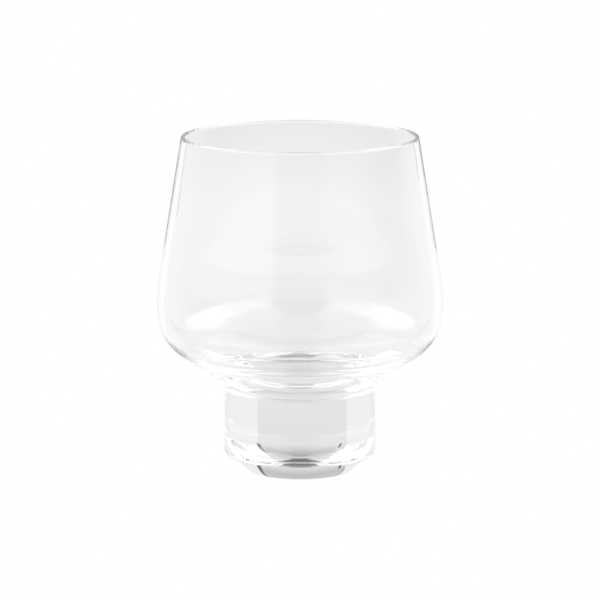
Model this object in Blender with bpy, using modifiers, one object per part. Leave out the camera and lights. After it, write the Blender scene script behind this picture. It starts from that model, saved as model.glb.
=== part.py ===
"""Whiskey tumbler: a blown glass bowl, hot-joined to a solid round glass foot.

Both pieces are turned shapes about Z. The foot stands on Z = 0, and the bowl's flat
underside lies just above the foot's flat top, which is the seam of the real object.
Lengths are in metres, +Z is up.
"""

import math

import bmesh
import bpy

# Foot: a solid cylinder that flares a little towards its base. Its lower edge is a
# crowned bevel between two softer corners: three arcs, each with the slope that it
# turns to, from 0 on the side to 90 degrees on the flat bottom.
FOOT_HEIGHT = 0.0248
FOOT_TOP_RADIUS = 0.02245
FOOT_FLARE = 0.0002
UPPER_CORNER_ARC = 0.0015
BEVEL_START = math.radians(36.0)
BEVEL_ARC = 0.0160
BEVEL_END = math.radians(56.5)
LOWER_CORNER_ARC = 0.0063

# Bowl, outside: straight wall leaning in to the rim, a slight swelling where it is
# widest, a rounded shoulder, a faintly hollow cone, and a small fillet at the seam.
OVERALL_HEIGHT = 0.1005
RIM_RADIUS = 0.03525
BOWL_RADIUS = 0.0425
WIDEST_HEIGHT = 0.0505
SWELL_ARC = 0.0550
SHOULDER_START = math.radians(4.0)
SHOULDER_ARC = 0.0143
CONE_ARC = 0.0700
SEAM_FILLET = 0.0007

# Bowl, inside: the wall grows thicker downwards, into a thick round-bottomed base.
RIM_THICKNESS = 0.0014
WALL_THICKNESS = 0.0018
BASE_THICKNESS = 0.0050
INNER_SHOULDER_ARC = 0.0115
FLOOR_ARC = 0.0900

# The joint between the two pieces, drawn as a thin gap.
SEAM_GAP = 0.0003

# How finely the shapes are cut.
TURN_STEPS = 72
DEGREES_PER_SEGMENT = 6.0
LIP_SEGMENTS = 8
WELD_DISTANCE = 0.00002

GLASS_COLOUR = (0.97, 0.985, 0.98, 1.0)
GLASS_ROUGHNESS = 0.02
GLASS_METALLIC = 0.0
GLASS_IOR = 1.52

COLLECTION_NAME = "whiskey_tumbler"


def clear_scene():
    for obj in list(bpy.data.objects):
        bpy.data.objects.remove(obj, do_unlink=True)


def bearing(start, end):
    """The angle of the direction from one point of the profile plane to another."""
    return math.atan2(end[1] - start[1], end[0] - start[0])


def polar(centre, radius, angle):
    return (centre[0] + radius * math.cos(angle), centre[1] + radius * math.sin(angle))


def arc(centre, radius, start, end):
    """Points on an arc from one angle to another, with both ends."""
    turn = end - start
    segments = max(2, math.ceil(math.degrees(abs(turn)) / DEGREES_PER_SEGMENT))
    return [polar(centre, radius, start + turn * i / segments) for i in range(segments + 1)]


def circles_meet(first, first_radius, second, second_radius, side):
    """The point this far from both centres, on the left (1) or right (-1) of the way
    from the first to the second."""
    apart = math.dist(first, second)
    along = (first_radius**2 - second_radius**2 + apart**2) / (2 * apart)
    across = math.sqrt(first_radius**2 - along**2)
    direction = bearing(first, second)
    return polar(polar(first, along, direction), across, direction + side * math.pi / 2)


def touching_angle(centre, radius, point, side):
    """Where on a circle the straight line from a point outside touches it."""
    swing = math.acos(radius / math.dist(centre, point))
    return bearing(centre, point) + side * swing


def without_repeats(points):
    kept = [points[0]]
    for point in points[1:]:
        if math.dist(point, kept[-1]) > WELD_DISTANCE:
            kept.append(point)
    return kept


def foot_profile():
    """Half outline of the foot: centre of its top, down its side and its three edge
    arcs, to its base's centre. The side ends as high up as the arcs drop."""
    arcs = (
        (UPPER_CORNER_ARC, 0.0, BEVEL_START),
        (BEVEL_ARC, BEVEL_START, BEVEL_END),
        (LOWER_CORNER_ARC, BEVEL_END, math.pi / 2),
    )
    drop = sum(radius * (math.sin(end) - math.sin(start)) for radius, start, end in arcs)
    profile = [
        (0.0, FOOT_HEIGHT),
        (FOOT_TOP_RADIUS, FOOT_HEIGHT),
        (FOOT_TOP_RADIUS + FOOT_FLARE, drop),
    ]
    for radius, start, end in arcs:
        centre = polar(profile[-1], radius, math.pi - start)
        profile += arc(centre, radius, -start, -end)
    return without_repeats([*profile, (0.0, 0.0)])


def bowl_outside(swell_centre, underside):
    """From the rim's outer edge down to the edge of the bowl's underside."""
    rim_edge = (RIM_RADIUS, OVERALL_HEIGHT - RIM_THICKNESS / 2)
    shoulder_centre = polar(swell_centre, SWELL_ARC - SHOULDER_ARC, -SHOULDER_START)
    fillet_centre = (FOOT_TOP_RADIUS + SEAM_FILLET, underside)
    cone_centre = circles_meet(
        shoulder_centre, SHOULDER_ARC + CONE_ARC, fillet_centre, CONE_ARC - SEAM_FILLET, 1
    )
    wall_end = touching_angle(swell_centre, SWELL_ARC, rim_edge, -1)
    shoulder_end = bearing(shoulder_centre, cone_centre)
    cone_start = bearing(cone_centre, shoulder_centre)
    cone_end = bearing(cone_centre, fillet_centre)
    return [
        rim_edge,
        *arc(swell_centre, SWELL_ARC, wall_end, -SHOULDER_START),
        *arc(shoulder_centre, SHOULDER_ARC, -SHOULDER_START, shoulder_end),
        *arc(cone_centre, CONE_ARC, cone_start, cone_end),
        *arc(fillet_centre, SEAM_FILLET, cone_end, math.pi),
    ]


def bowl_inside(swell_centre, underside):
    """From the middle of the bowl's floor up to the rim's inner edge."""
    rim_edge = (RIM_RADIUS - RIM_THICKNESS, OVERALL_HEIGHT - RIM_THICKNESS / 2)
    inner_swell = SWELL_ARC - WALL_THICKNESS
    floor_centre = (0.0, underside + BASE_THICKNESS + FLOOR_ARC)
    corner_centre = circles_meet(
        swell_centre, inner_swell - INNER_SHOULDER_ARC,
        floor_centre, FLOOR_ARC - INNER_SHOULDER_ARC, -1,
    )
    floor_end = bearing(floor_centre, corner_centre)
    swell_start = bearing(swell_centre, corner_centre)
    wall_start = touching_angle(swell_centre, inner_swell, rim_edge, -1)
    return [
        *arc(floor_centre, FLOOR_ARC, -math.pi / 2, floor_end),
        *arc(corner_centre, INNER_SHOULDER_ARC, floor_end, swell_start),
        *arc(swell_centre, inner_swell, swell_start, wall_start),
        rim_edge,
    ]


def bowl_profile():
    """Half outline of the bowl: its floor, inner wall, rim, outer wall, and underside."""
    underside = FOOT_HEIGHT + SEAM_GAP
    swell_centre = (BOWL_RADIUS - SWELL_ARC, WIDEST_HEIGHT)
    rim_centre = (RIM_RADIUS - RIM_THICKNESS / 2, OVERALL_HEIGHT - RIM_THICKNESS / 2)
    lip = [
        polar(rim_centre, RIM_THICKNESS / 2, math.pi * (1 - i / LIP_SEGMENTS))
        for i in range(LIP_SEGMENTS + 1)
    ]
    return without_repeats([
        *bowl_inside(swell_centre, underside),
        *lip,
        *bowl_outside(swell_centre, underside),
        (0.0, underside),
    ])


def glass_material(name):
    material = bpy.data.materials.new(name)
    material.use_nodes = True
    shader = material.node_tree.nodes["Principled BSDF"]
    shader.inputs["Base Color"].default_value = GLASS_COLOUR
    shader.inputs["Roughness"].default_value = GLASS_ROUGHNESS
    shader.inputs["Metallic"].default_value = GLASS_METALLIC
    shader.inputs["IOR"].default_value = GLASS_IOR
    shader.inputs["Transmission Weight"].default_value = 1.0
    return material


def turned(name, profile, collection):
    """A closed solid of revolution about Z, from a half outline that starts and ends on
    the axis."""
    mesh = bpy.data.meshes.new(name)
    outline = bmesh.new()
    corners = [outline.verts.new((x, 0.0, z)) for x, z in profile]
    for start, end in zip(corners, corners[1:]):
        outline.edges.new((start, end))
    outline.to_mesh(mesh)
    outline.free()
    obj = bpy.data.objects.new(name, mesh)
    collection.objects.link(obj)
    screw = obj.modifiers.new("Turn", "SCREW")
    screw.axis = "Z"
    screw.steps = TURN_STEPS
    screw.render_steps = TURN_STEPS
    screw.use_merge_vertices = True
    screw.merge_threshold = WELD_DISTANCE
    screw.use_smooth_shade = True
    mesh.materials.append(glass_material(name + "_glass"))
    return obj


def main():
    clear_scene()
    collection = bpy.data.collections.new(COLLECTION_NAME)
    bpy.context.scene.collection.children.link(collection)
    stand = bpy.data.objects.new("tumbler", None)
    collection.objects.link(stand)
    for name, profile in (("foot", foot_profile()), ("bowl", bowl_profile())):
        turned(name, profile, collection).parent = stand


main()
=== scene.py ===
"""Looks for the whiskey tumbler: clear glass bowl and foot, and the studio around them."""

import math

import bmesh
import bpy
from mathutils import Matrix, Vector, noise


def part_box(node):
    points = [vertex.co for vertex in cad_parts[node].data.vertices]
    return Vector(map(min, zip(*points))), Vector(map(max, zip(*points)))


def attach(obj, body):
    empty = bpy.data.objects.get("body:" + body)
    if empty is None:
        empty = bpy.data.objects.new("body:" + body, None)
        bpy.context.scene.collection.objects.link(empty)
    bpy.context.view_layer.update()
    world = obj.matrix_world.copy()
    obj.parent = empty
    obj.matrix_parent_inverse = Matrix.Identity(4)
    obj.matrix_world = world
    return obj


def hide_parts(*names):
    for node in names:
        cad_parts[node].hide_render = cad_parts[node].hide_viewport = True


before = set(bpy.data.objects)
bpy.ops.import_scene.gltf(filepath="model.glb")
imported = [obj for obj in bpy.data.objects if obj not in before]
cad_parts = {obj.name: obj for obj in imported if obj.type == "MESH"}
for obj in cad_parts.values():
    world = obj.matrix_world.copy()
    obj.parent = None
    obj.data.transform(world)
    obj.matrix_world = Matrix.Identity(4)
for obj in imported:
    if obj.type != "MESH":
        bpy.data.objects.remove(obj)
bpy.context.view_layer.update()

BODY = "root"
MM = 0.001


# ---------------------------------------------------------------- profile geometry
def bearing(start, end):
    """The angle of the direction from one point of the profile plane to another."""
    return math.atan2(end[1] - start[1], end[0] - start[0])


def polar(centre, radius, angle):
    return (centre[0] + radius * math.cos(angle), centre[1] + radius * math.sin(angle))


def arc(centre, radius, start, end, step):
    """Points on an arc from one angle to another, about step apart, with both ends."""
    count = max(3, math.ceil(abs(end - start) * radius / step))
    return [polar(centre, radius, start + (end - start) * i / count) for i in range(count + 1)]


def straight(start, end, step):
    """Points on a straight line, about step apart, without its first point."""
    count = max(1, math.ceil(math.dist(start, end) / step))
    return [
        (start[0] + (end[0] - start[0]) * i / count, start[1] + (end[1] - start[1]) * i / count)
        for i in range(1, count + 1)
    ]


def circles_meet(first, first_radius, second, second_radius, side):
    """The point this far from both centres, on the left (1) or right (-1) of the way
    from the first to the second."""
    apart = math.dist(first, second)
    along = (first_radius**2 - second_radius**2 + apart**2) / (2 * apart)
    across = math.sqrt(first_radius**2 - along**2)
    direction = bearing(first, second)
    return polar(polar(first, along, direction), across, direction + side * math.pi / 2)


def touching_angle(centre, radius, point, side):
    """Where on a circle the straight line from a point outside touches it."""
    swing = math.acos(radius / math.dist(centre, point))
    return bearing(centre, point) + side * swing


# ---------------------------------------------------------------- sizes, as in the CAD
foot_low, foot_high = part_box("foot")
bowl_low, bowl_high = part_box("bowl")
SEAM = bowl_low.z
HEIGHT = bowl_high.z
BOWL_RADIUS = bowl_high.x
FOOT_BASE_RADIUS = foot_high.x
FOOT_TOP_RADIUS = 22.45 * MM

# The foot's lower edge: the radius of each arc, and how far it has turned from upright
# at its end.
EDGE_ARCS = (
    (1.5 * MM, math.radians(36.0)),
    (16.0 * MM, math.radians(56.5)),
    (6.3 * MM, math.radians(90.0)),
)

RIM_RADIUS = 35.25 * MM
WIDEST_HEIGHT = 50.5 * MM
SWELL_ARC = 55.0 * MM
SHOULDER_START = math.radians(4.0)
SHOULDER_ARC = 14.3 * MM
CONE_ARC = 70.0 * MM
SEAM_FILLET = 0.7 * MM
RIM_THICKNESS = 1.4 * MM
WALL_THICKNESS = 1.8 * MM
BASE_THICKNESS = 5.0 * MM
INNER_SHOULDER_ARC = 11.5 * MM
FLOOR_ARC = 90.0 * MM

# The two pieces of glass meet at the seam, apart by a film too thin to see.
SEAM_FILM = 0.01 * MM

# The unevenness of the thick glass in the base: its depth on the faces that look up and
# down, the spacing of its swells, a finer layer on top of it, and the heights above the
# seam where it starts and ends.
UNEVEN_INSIDE = 0.03 * MM
UNEVEN_OUTSIDE = 0.02 * MM
UNEVEN_SPACING = 6.0 * MM
UNEVEN_FINER = 2.3
UNEVEN_FINER_SHARE = 0.5
UNEVEN_BOTTOM = 0.5 * MM
UNEVEN_TOP = 24.0 * MM
UNEVEN_FADE = 8.0 * MM
UNEVEN_SLOPE = 0.5

# How strongly the glass bends light, as lead-free crystal does.
GLASS_IOR = 1.52

# What the glass lets through: nearly all in the thin bowl, less in the 45 mm thick foot.
BOWL_TINT = "#fefefe"
FOOT_TINT = "#f0f0f0"

# The ripple of the flame polish: its width round the wall, its length up it, its depth.
RIPPLE_ACROSS = 7.0 * MM
RIPPLE_ALONG = 24.0 * MM
RIPPLE_DEPTH = 0.006 * MM

# How finely the shapes are cut.
PROFILE_STEP = 0.6 * MM
ROUND_STEP = 0.2 * MM
LIP_STEP = 0.15 * MM
TURN_STEPS = 256
WELD_DISTANCE = 0.002 * MM


def foot_outline():
    """From the edge of the seam down the side and round the crowned bevel. The side ends
    as high up as the arcs drop, so they end on the foot's flat bottom."""
    top_corner = (FOOT_TOP_RADIUS, SEAM - SEAM_FILM)
    starts = (0.0, *(tilt for _, tilt in EDGE_ARCS))
    drop = sum(
        radius * (math.sin(end) - math.sin(start))
        for start, (radius, end) in zip(starts, EDGE_ARCS)
    )
    outline = [top_corner, *straight(top_corner, (FOOT_BASE_RADIUS, drop), PROFILE_STEP)]
    for start, (radius, end) in zip(starts, EDGE_ARCS):
        centre = polar(outline[-1], radius, math.pi - start)
        outline += arc(centre, radius, -start, -end, ROUND_STEP)[1:]
    return outline


def bowl_outline():
    """From the middle of the bowl's floor up to the rim, over it, and down the outside to
    the edge of the seam."""
    swell_centre = (BOWL_RADIUS - SWELL_ARC, WIDEST_HEIGHT)
    inner_swell = SWELL_ARC - WALL_THICKNESS
    lip_radius = RIM_THICKNESS / 2
    lip_centre = (RIM_RADIUS - lip_radius, HEIGHT - lip_radius)
    inner_edge = (RIM_RADIUS - RIM_THICKNESS, HEIGHT - lip_radius)
    outer_edge = (RIM_RADIUS, HEIGHT - lip_radius)
    floor_centre = (0.0, SEAM + BASE_THICKNESS + FLOOR_ARC)
    corner_centre = circles_meet(
        swell_centre, inner_swell - INNER_SHOULDER_ARC,
        floor_centre, FLOOR_ARC - INNER_SHOULDER_ARC, -1,
    )
    floor_end = bearing(floor_centre, corner_centre)
    swell_start = bearing(swell_centre, corner_centre)
    inner_wall = touching_angle(swell_centre, inner_swell, inner_edge, -1)
    inside = [
        *arc(floor_centre, FLOOR_ARC, -math.pi / 2, floor_end, PROFILE_STEP),
        *arc(corner_centre, INNER_SHOULDER_ARC, floor_end, swell_start, PROFILE_STEP)[1:],
        *arc(swell_centre, inner_swell, swell_start, inner_wall, PROFILE_STEP)[1:],
    ]
    inside += straight(inside[-1], inner_edge, PROFILE_STEP)
    lip = arc(lip_centre, lip_radius, math.pi, 0.0, LIP_STEP)[1:]

    shoulder_centre = polar(swell_centre, SWELL_ARC - SHOULDER_ARC, -SHOULDER_START)
    fillet_centre = (FOOT_TOP_RADIUS + SEAM_FILLET, SEAM)
    cone_centre = circles_meet(
        shoulder_centre, SHOULDER_ARC + CONE_ARC, fillet_centre, CONE_ARC - SEAM_FILLET, 1
    )
    outer_wall = touching_angle(swell_centre, SWELL_ARC, outer_edge, -1)
    shoulder_end = bearing(shoulder_centre, cone_centre)
    cone_start = bearing(cone_centre, shoulder_centre)
    cone_end = bearing(cone_centre, fillet_centre)
    outside = straight(outer_edge, polar(swell_centre, SWELL_ARC, outer_wall), PROFILE_STEP)
    outside += arc(swell_centre, SWELL_ARC, outer_wall, -SHOULDER_START, PROFILE_STEP)[1:]
    outside += arc(
        shoulder_centre, SHOULDER_ARC, -SHOULDER_START, shoulder_end, PROFILE_STEP
    )[1:]
    outside += arc(cone_centre, CONE_ARC, cone_start, cone_end, PROFILE_STEP)[1:]
    outside += arc(fillet_centre, SEAM_FILLET, cone_end, math.pi, LIP_STEP)[1:]
    return inside + lip + outside


# ---------------------------------------------------------------- turned glass pieces
def settle(mesh):
    """The faint unevenness that thick hot glass keeps where it was worked the longest:
    inside the base, which faces up, and on the cone below it, which faces down."""
    mesh.normal_update()
    for vert in mesh.verts:
        height = vert.co.z - SEAM
        if not UNEVEN_BOTTOM < height < UNEVEN_TOP:
            continue
        depth = UNEVEN_INSIDE if vert.normal.z > 0 else UNEVEN_OUTSIDE
        fade = min(1.0, abs(vert.normal.z) / UNEVEN_SLOPE)
        fade *= min(1.0, (UNEVEN_TOP - height) / UNEVEN_FADE)
        swirl = noise.noise(vert.co / UNEVEN_SPACING)
        swirl += UNEVEN_FINER_SHARE * noise.noise(vert.co * UNEVEN_FINER / UNEVEN_SPACING)
        vert.co += vert.normal * depth * fade * swirl


def turned(name, outline):
    """A closed turned piece. Its flat disc on the seam gets material slot 1."""
    mesh = bmesh.new()
    corners = [mesh.verts.new((x, 0.0, z)) for x, z in outline]
    edges = [mesh.edges.new(pair) for pair in zip(corners, corners[1:])]
    bmesh.ops.spin(
        mesh, geom=corners + edges, cent=(0, 0, 0), axis=(0, 0, 1), dvec=(0, 0, 0),
        angle=math.tau, steps=TURN_STEPS, use_merge=True, use_duplicate=False,
    )
    bmesh.ops.remove_doubles(mesh, verts=mesh.verts, dist=WELD_DISTANCE)
    open_edges = [edge for edge in mesh.edges if edge.is_boundary]
    bmesh.ops.holes_fill(mesh, edges=open_edges, sides=TURN_STEPS)
    bmesh.ops.recalc_face_normals(mesh, faces=mesh.faces)
    settle(mesh)
    for face in mesh.faces:
        is_disc = len(face.verts) > 4
        face.smooth = not is_disc
        if is_disc and abs(face.calc_center_median().z - SEAM) < 2 * SEAM_FILM:
            face.material_index = 1
    data = bpy.data.meshes.new(name)
    mesh.to_mesh(data)
    mesh.free()
    piece = bpy.data.objects.new(name, data)
    bpy.context.scene.collection.objects.link(piece)
    return piece


# ---------------------------------------------------------------- materials
def colour(code, alpha=1.0):
    """An sRGB hex colour as the linear values that Blender's sockets take."""
    parts = [int(code[i : i + 2], 16) / 255 for i in (1, 3, 5)]
    linear = [p / 12.92 if p <= 0.04045 else ((p + 0.055) / 1.055) ** 2.4 for p in parts]
    return (*linear, alpha)


def node(tree, kind, settings=None, inputs=None, links=None):
    """Adds one node: its settings, its input values, and links from other sockets."""
    made = tree.nodes.new(kind)
    for name, value in (settings or {}).items():
        setattr(made, name, value)
    for name, value in (inputs or {}).items():
        made.inputs[name].default_value = value
    for name, socket in (links or {}).items():
        tree.links.new(socket, made.inputs[name])
    return made


def empty_material(name):
    material = bpy.data.materials.new(name)
    material.use_nodes = True
    material.node_tree.nodes.clear()
    return material, material.node_tree


def fire_polished_glass(name, tint):
    """Blown crystal glass, fire-polished: colourless, with no grain or roughness to see.
    The flame leaves a ripple far shallower than the wall, which only bends the light a
    little, and it runs longer up the wall than round it, the way the bowl was drawn."""
    material, tree = empty_material(name)
    place = node(tree, "ShaderNodeTexCoord").outputs["Object"]
    drawn = node(tree, "ShaderNodeMapping", {"vector_type": "POINT"}, inputs={
        "Scale": (1.0, 1.0, RIPPLE_ACROSS / RIPPLE_ALONG),
    }, links={"Vector": place})
    ripple = node(tree, "ShaderNodeTexNoise", inputs={
        "Scale": 1.0 / RIPPLE_ACROSS, "Detail": 1.0, "Roughness": 0.4,
    }, links={"Vector": drawn.outputs["Vector"]})
    bump = node(tree, "ShaderNodeBump", inputs={
        "Strength": 1.0, "Distance": RIPPLE_DEPTH,
    }, links={"Height": ripple.outputs["Fac"]})
    shader = node(tree, "ShaderNodeBsdfPrincipled", inputs={
        "Base Color": colour(tint), "Roughness": 0.0, "IOR": GLASS_IOR,
        "Transmission Weight": 1.0,
    }, links={"Normal": bump.outputs["Normal"]})
    node(tree, "ShaderNodeOutputMaterial", links={"Surface": shader.outputs["BSDF"]})
    return material


def fused_seam():
    """Where two gathers of glass melted together there is no surface left to see."""
    material, tree = empty_material("fused seam, no optical boundary")
    clear = node(tree, "ShaderNodeBsdfTransparent")
    node(tree, "ShaderNodeOutputMaterial", links={"Surface": clear.outputs["BSDF"]})
    return material


seam_material = fused_seam()
for name, cad_node, outline, tint in (
    ("foot_glass", "foot", foot_outline(), FOOT_TINT),
    ("bowl_glass", "bowl", bowl_outline(), BOWL_TINT),
):
    piece = turned(name, outline)
    piece.data.materials.append(
        fire_polished_glass(name + ", fire-polished crystal glass", tint)
    )
    piece.data.materials.append(seam_material)
    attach(piece, BODY)
    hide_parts(cad_node)


# ---------------------------------------------------------------- studio
WHITE = 1.0

# The even light of the room, by elevation above the horizon in degrees.
ROOM = (
    (-90, 0.40), (-60, 0.70), (-45, 0.90), (-15, 1.05), (0, 0.98), (15, 0.98), (35, 1.00),
    (60, 0.9), (90, 0.6),
)

# What stands in the room: name, azimuth (0 behind the glass, 90 on its right), half
# width, softness of its sides, lowest and highest elevation, their softness, brightness.
ROOM_PATCHES = (
    ("lit floor in front", 180, 95, 40, -50, -22, 6, 1.4),
    ("softbox left", -125, 50, 20, -8, 50, 8, 1.08),
    ("wall right", 120, 50, 20, -8, 50, 8, 0.78),
    ("shaded wall far right", 90, 25, 20, -8, 50, 8, 0.62),
    ("low pale walls all round", 180, 116, 20, -24, 1, 4, 0.90),
    ("high softbox left", -80, 34, 14, 20, 50, 10, 2.7),
    ("high softbox right", 80, 34, 14, 20, 50, 10, 2.7),
    ("high softbox left, towards its end", -122, 20, 34, 20, 46, 12, 1.8),
    ("high softbox right, towards its end", 122, 20, 34, 20, 46, 12, 1.8),
    ("gap over the camera", 180, 23, 5, -3, 50, 10, 0.6),
    ("dark ceiling in front", 180, 26, 10, 26, 100, 10, 0.15),
    ("dark ceiling", 0, 190, 1, 78, 100, 8, 0.25),
)

# The grey card behind the glass, a sheet that glows by itself: its distance, its sides as
# angles from straight behind, its ends as heights, and its brightness by height, painted lamp
# light, lightest where a lamp would point.
CARD_DISTANCE = 0.30
CARD_SIDES = (-25.8, 22.9)
CARD_ENDS = (-0.25, 0.30)
CARD_PAINTED_LIGHT_LEVELS = (
    (-0.25, 0.86), (-0.10, 0.87), (-0.06, 0.88), (-0.034, 0.91), (0.03, 0.90), (0.06, 0.80),
    (0.10, 0.60), (0.20, 0.56), (0.30, 0.50),
)

# Dark upright strips just in front of the card, glowing dimly, painted dark marks in what the
# glass sees:
# name, sides, ends and brightness.
CARD_DARK_STRIPS = (
    ("dark strip at the left edge", (-26.6, -25.0), (0.11, 0.25), 0.30),
    ("dark strip at the right edge", (20.6, 23.4), (0.045, 0.30), 0.12),
    ("dark strip near the left edge", (-22.0, -20.4), (0.03, 0.09), 0.10),
)
DARK_STRIP_DISTANCE = 0.299

# The low reflector cloth, hung in an arc on both sides, a little below the swelling of the
# wall. It glows by itself with painted lamp light: its radius, its ends as heights, their
# softness, how much of it shows by azimuth, and its brightness.
REFLECTOR_RADIUS = 0.50
REFLECTOR_ENDS = (-0.085, 0.0)
REFLECTOR_SOFTNESS = 0.025
REFLECTOR_PAINTED_LIGHT_LEVELS = ((66, 0.0), (78, 1.0), (90, 1.0), (115, 0.45), (145, 0.0))
REFLECTOR_BRIGHTNESS = 0.9
REFLECTOR_STEPS = 24

FLOOR_SIZE = 6.0
FLOOR_DROP = 0.2 * MM


def smooth_step(tree, value, start, end):
    """0 at start and 1 at end, with a soft rise between."""
    return node(tree, "ShaderNodeMapRange", {"interpolation_type": "SMOOTHSTEP"}, inputs={
        "From Min": start, "From Max": end,
    }, links={"Value": value}).outputs["Result"]


def times(tree, first, second):
    return node(tree, "ShaderNodeMath", {"operation": "MULTIPLY"},
                links={0: first, 1: second}).outputs[0]


def between(tree, value, low, high, softness):
    """1 from low to high and 0 beyond them, with soft ends."""
    rise = smooth_step(tree, value, low - softness / 2, low + softness / 2)
    fall = smooth_step(tree, value, high + softness / 2, high - softness / 2)
    return times(tree, rise, fall)


def greys(tree, value, levels):
    """A ramp of greys along a value: pairs of the value and the brightness there."""
    low = levels[0][0]
    high = levels[-1][0]
    place = node(tree, "ShaderNodeMapRange", inputs={"From Min": low, "From Max": high},
                 links={"Value": value}).outputs["Result"]
    ramp = node(tree, "ShaderNodeValToRGB", links={"Fac": place})
    elements = ramp.color_ramp.elements
    elements.remove(elements[0])
    for i, (at, brightness) in enumerate(levels):
        element = elements[0] if i == 0 else elements.new((at - low) / (high - low))
        element.position = (at - low) / (high - low)
        element.color = (brightness, brightness, brightness, 1.0)
    return ramp


def world_light():
    """White behind the object for the camera, and the lit room for the glass."""
    world = bpy.data.worlds.new("studio")
    bpy.context.scene.world = world
    world.use_nodes = True
    tree = world.node_tree
    tree.nodes.clear()
    direction = node(tree, "ShaderNodeTexCoord").outputs["Generated"]
    height = node(tree, "ShaderNodeSeparateXYZ", links={"Vector": direction}).outputs["Z"]
    rise = node(tree, "ShaderNodeMath", {"operation": "ARCSINE"}, links={0: height}).outputs[0]
    elevation = node(tree, "ShaderNodeMath", {"operation": "DEGREES"},
                     links={0: rise}).outputs[0]
    flat = node(tree, "ShaderNodeVectorMath", {"operation": "MULTIPLY"},
                inputs={1: (1.0, 1.0, 0.0)}, links={0: direction}).outputs[0]
    heading = node(tree, "ShaderNodeVectorMath", {"operation": "NORMALIZE"},
                   links={0: flat}).outputs[0]
    ramp = greys(tree, elevation, ROOM)
    ramp.color_ramp.interpolation = "B_SPLINE"
    level = node(tree, "ShaderNodeRGBToBW", links={"Color": ramp.outputs["Color"]}).outputs[0]
    for _, azimuth, half, soft_side, low, high, soft_end, brightness in ROOM_PATCHES:
        turn = math.radians(azimuth)
        along = node(tree, "ShaderNodeVectorMath", {"operation": "DOT_PRODUCT"},
                     inputs={1: (math.sin(turn), math.cos(turn), 0.0)}, links={0: heading})
        angle = node(tree, "ShaderNodeMath", {"operation": "ARCCOSINE"},
                     links={0: along.outputs["Value"]}).outputs[0]
        away = node(tree, "ShaderNodeMath", {"operation": "DEGREES"},
                    links={0: angle}).outputs[0]
        across = smooth_step(tree, away, half + soft_side / 2, half - soft_side / 2)
        mask = times(tree, across, between(tree, elevation, low, high, soft_end))
        level = node(tree, "ShaderNodeMix", {"data_type": "FLOAT"}, inputs={3: brightness},
                     links={0: mask, 2: level}).outputs[0]
    room = node(tree, "ShaderNodeBackground", inputs={"Color": (1.0, 1.0, 1.0, 1.0)},
                links={"Strength": level})
    seen = node(tree, "ShaderNodeBackground", inputs={"Color": (WHITE, WHITE, WHITE, 1.0)})
    ray = node(tree, "ShaderNodeLightPath").outputs["Is Camera Ray"]
    mixed = node(tree, "ShaderNodeMixShader",
                 links={0: ray, 1: room.outputs[0], 2: seen.outputs[0]})
    node(tree, "ShaderNodeOutputWorld", links={"Surface": mixed.outputs[0]})


def glow(name, brightness):
    """A surface that gives off even white light."""
    material, tree = empty_material(name)
    light = node(tree, "ShaderNodeEmission", inputs={
        "Color": (1.0, 1.0, 1.0, 1.0), "Strength": brightness,
    })
    node(tree, "ShaderNodeOutputMaterial", links={"Surface": light.outputs[0]})
    return material


def card_with_painted_lamp_light():
    """Grey board that glows by itself, with painted lamp light graded by height as if one lamp
    lit it.
    """
    material, tree = empty_material("grey card, painted lamp light by height")
    place = node(tree, "ShaderNodeTexCoord").outputs["Object"]
    height = node(tree, "ShaderNodeSeparateXYZ", links={"Vector": place}).outputs["Z"]
    ramp = greys(tree, height, CARD_PAINTED_LIGHT_LEVELS)
    light = node(tree, "ShaderNodeEmission", links={"Color": ramp.outputs["Color"]})
    node(tree, "ShaderNodeOutputMaterial", links={"Surface": light.outputs[0]})
    return material


def reflector_with_painted_lamp_light():
    """Light cloth that glows by itself, painted lamp light that fades out towards its edges."""
    material, tree = empty_material("reflector cloth")
    place = node(tree, "ShaderNodeTexCoord").outputs["Object"]
    parts = node(tree, "ShaderNodeSeparateXYZ", links={"Vector": place})
    side = node(tree, "ShaderNodeMath", {"operation": "ABSOLUTE"},
                links={0: parts.outputs["X"]}).outputs[0]
    turn = node(tree, "ShaderNodeMath", {"operation": "ARCTAN2"},
                links={0: side, 1: parts.outputs["Y"]}).outputs[0]
    azimuth = node(tree, "ShaderNodeMath", {"operation": "DEGREES"}, links={0: turn}).outputs[0]
    ramp = greys(tree, azimuth, REFLECTOR_PAINTED_LIGHT_LEVELS)
    mask = times(tree, ramp.outputs["Color"],
                 between(tree, parts.outputs["Z"], *REFLECTOR_ENDS, REFLECTOR_SOFTNESS))
    light = node(tree, "ShaderNodeEmission", inputs={
        "Color": (1.0, 1.0, 1.0, 1.0), "Strength": REFLECTOR_BRIGHTNESS,
    })
    clear = node(tree, "ShaderNodeBsdfTransparent")
    mixed = node(tree, "ShaderNodeMixShader",
                 links={0: mask, 1: clear.outputs[0], 2: light.outputs[0]})
    node(tree, "ShaderNodeOutputMaterial", links={"Surface": mixed.outputs[0]})
    return material


def reflector(name, start, end):
    """An upright strip of cloth round the axis, from one azimuth to another."""
    low, high = REFLECTOR_ENDS
    mesh = bmesh.new()
    turn = Matrix.Rotation(-math.radians(start), 4, "Z")
    ends = [
        mesh.verts.new(turn @ Vector((0.0, REFLECTOR_RADIUS, z)))
        for z in (low - REFLECTOR_SOFTNESS, high + REFLECTOR_SOFTNESS)
    ]
    edge = mesh.edges.new(ends)
    bmesh.ops.spin(
        mesh, geom=[*ends, edge], cent=(0, 0, 0), axis=(0, 0, -1), dvec=(0, 0, 0),
        angle=math.radians(end - start), steps=REFLECTOR_STEPS, use_merge=False,
        use_duplicate=False,
    )
    stand_in_studio(name, mesh, reflector_with_painted_lamp_light()).visible_camera = False


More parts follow.
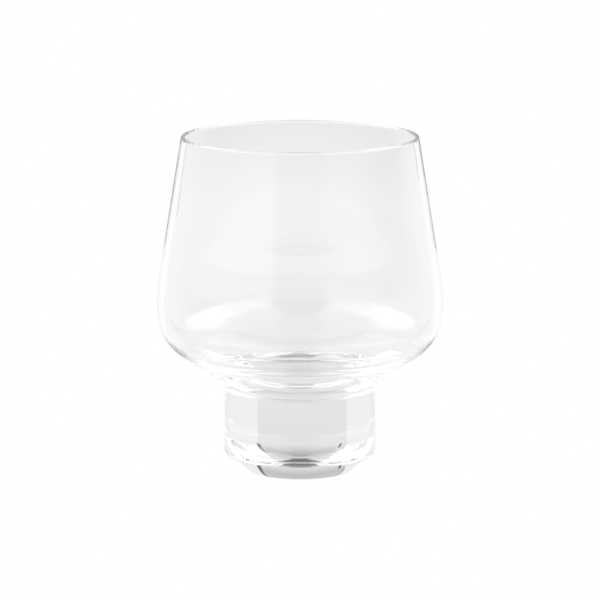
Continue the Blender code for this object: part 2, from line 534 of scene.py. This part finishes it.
def stand_in_studio(name, mesh, material):
    """Makes a mesh a part of the studio."""
    data = bpy.data.meshes.new(name)
    mesh.to_mesh(data)
    mesh.free()
    data.materials.append(material)
    obj = bpy.data.objects.new(name, data)
    bpy.context.scene.collection.objects.link(obj)
    return obj


def sheet_of(name, material, place):
    """A flat square of 1 m, put in its place."""
    mesh = bmesh.new()
    bmesh.ops.create_grid(mesh, x_segments=1, y_segments=1, size=0.5)
    bmesh.ops.transform(mesh, matrix=place, verts=mesh.verts)
    return stand_in_studio(name, mesh, material)


def panel(name, azimuth, distance, sides, ends, material):
    """An upright flat panel that only the glass sees, square to the line from the axis
    at its azimuth. Its sides are angles from that line, and its ends are heights."""
    left, right = (distance * math.tan(math.radians(side)) for side in sides)
    low, high = ends
    place = Matrix.Rotation(-math.radians(azimuth), 4, "Z")
    place @= Matrix.Translation(((left + right) / 2, distance, (low + high) / 2))
    place @= Matrix.Rotation(math.pi / 2, 4, "X")
    place @= Matrix.Diagonal((right - left, high - low, 1.0, 1.0))
    sheet_of(name, material, place).visible_camera = False


def floor():
    """A pale floor for the camera. The glass sees the room's own light in its place."""
    place = Matrix.Translation((0.0, 0.0, -FLOOR_DROP)) @ Matrix.Scale(FLOOR_SIZE, 4)
    obj = sheet_of("floor", glow("white acrylic floor, lit from below", WHITE), place)
    obj.visible_transmission = False
    obj.visible_glossy = False


world_light()
floor()
# The grey card glows with painted lamp light, graded by height.
panel("grey card", 0.0, CARD_DISTANCE, CARD_SIDES, CARD_ENDS, card_with_painted_lamp_light())
# Dim glowing strips, painted dark marks seen in the glass.
for name, sides, ends, brightness in CARD_DARK_STRIPS:
    panel(name, 0.0, DARK_STRIP_DISTANCE, sides, ends, glow(name, brightness))
near_end = REFLECTOR_PAINTED_LIGHT_LEVELS[0][0]
far_end = REFLECTOR_PAINTED_LIGHT_LEVELS[-1][0]
# The reflectors glow with painted lamp light, fading by azimuth.
reflector("right reflector", near_end, far_end)
reflector("left reflector", -far_end, -near_end)

# ---------------------------------------------------------------- camera
# Its angle above level, its distance from the point that it looks at, that point's
# height, and the width of its sensor and its focal length in millimetres.
ELEVATION = math.radians(10.9)
DISTANCE = 0.950
AIM_HEIGHT = 51.1 * MM
SENSOR = 36.0
FOCAL_LENGTH = 191.46

# How often light may turn inside the glass, and pass the seam and the cloths.
GLASS_BOUNCES = 96
CLEAR_BOUNCES = 16

camera_data = bpy.data.cameras.new("camera")
camera_data.sensor_width = SENSOR
camera_data.lens = FOCAL_LENGTH
camera = bpy.data.objects.new("camera", camera_data)
bpy.context.scene.collection.objects.link(camera)
aim = Vector((0.0, 0.0, AIM_HEIGHT))
camera.location = aim + DISTANCE * Vector((0.0, -math.cos(ELEVATION), math.sin(ELEVATION)))
camera.rotation_euler = (aim - camera.location).to_track_quat("-Z", "Y").to_euler()
bpy.context.scene.camera = camera

bpy.context.scene.view_settings.view_transform = "Standard"
bpy.context.scene.cycles.max_bounces = GLASS_BOUNCES
bpy.context.scene.cycles.transmission_bounces = GLASS_BOUNCES
bpy.context.scene.cycles.glossy_bounces = GLASS_BOUNCES
bpy.context.scene.cycles.transparent_max_bounces = CLEAR_BOUNCES
